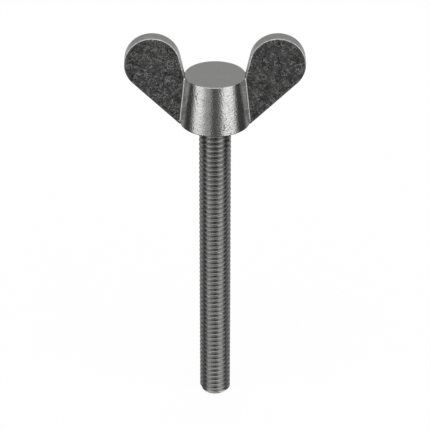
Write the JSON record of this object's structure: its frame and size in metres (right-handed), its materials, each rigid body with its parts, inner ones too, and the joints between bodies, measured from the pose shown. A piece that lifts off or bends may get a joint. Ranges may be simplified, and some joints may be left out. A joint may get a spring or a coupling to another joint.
{
  "type": "wing screw",
  "caption": "Wing screw: tapered round boss with two flat rounded wings and a long, fully threaded stud, for clamping by hand.",
  "frame": {"origin": "on the screw's axis, in the plane of the boss's flat underside, where the thread starts", "axes": "+Z along the screw's axis from the thread up through the head; +X through the right wing; -Z is the way the tip points"},
  "size_m": [0.033, 0.013, 0.0772],
  "materials": {
    "turned_steel": "bright satin, turned and tumbled",
    "wing_steel": "dull grey rolled faces with faint mottling",
    "braze": "bright silver braze",
    "thread_steel": "plain rolled thread, slightly dull",
    "retaining_compound": "cured green retaining compound"
  },
  "bodies": {
    "root": {"head_boss": "turned_steel", "left_wing": "wing_steel", "right_wing": "wing_steel", "left_wing_braze": "braze", "right_wing_braze": "braze", "threaded_stud": "thread_steel", "stud_retaining_compound": "retaining_compound"}
  },
  "joints": []
}
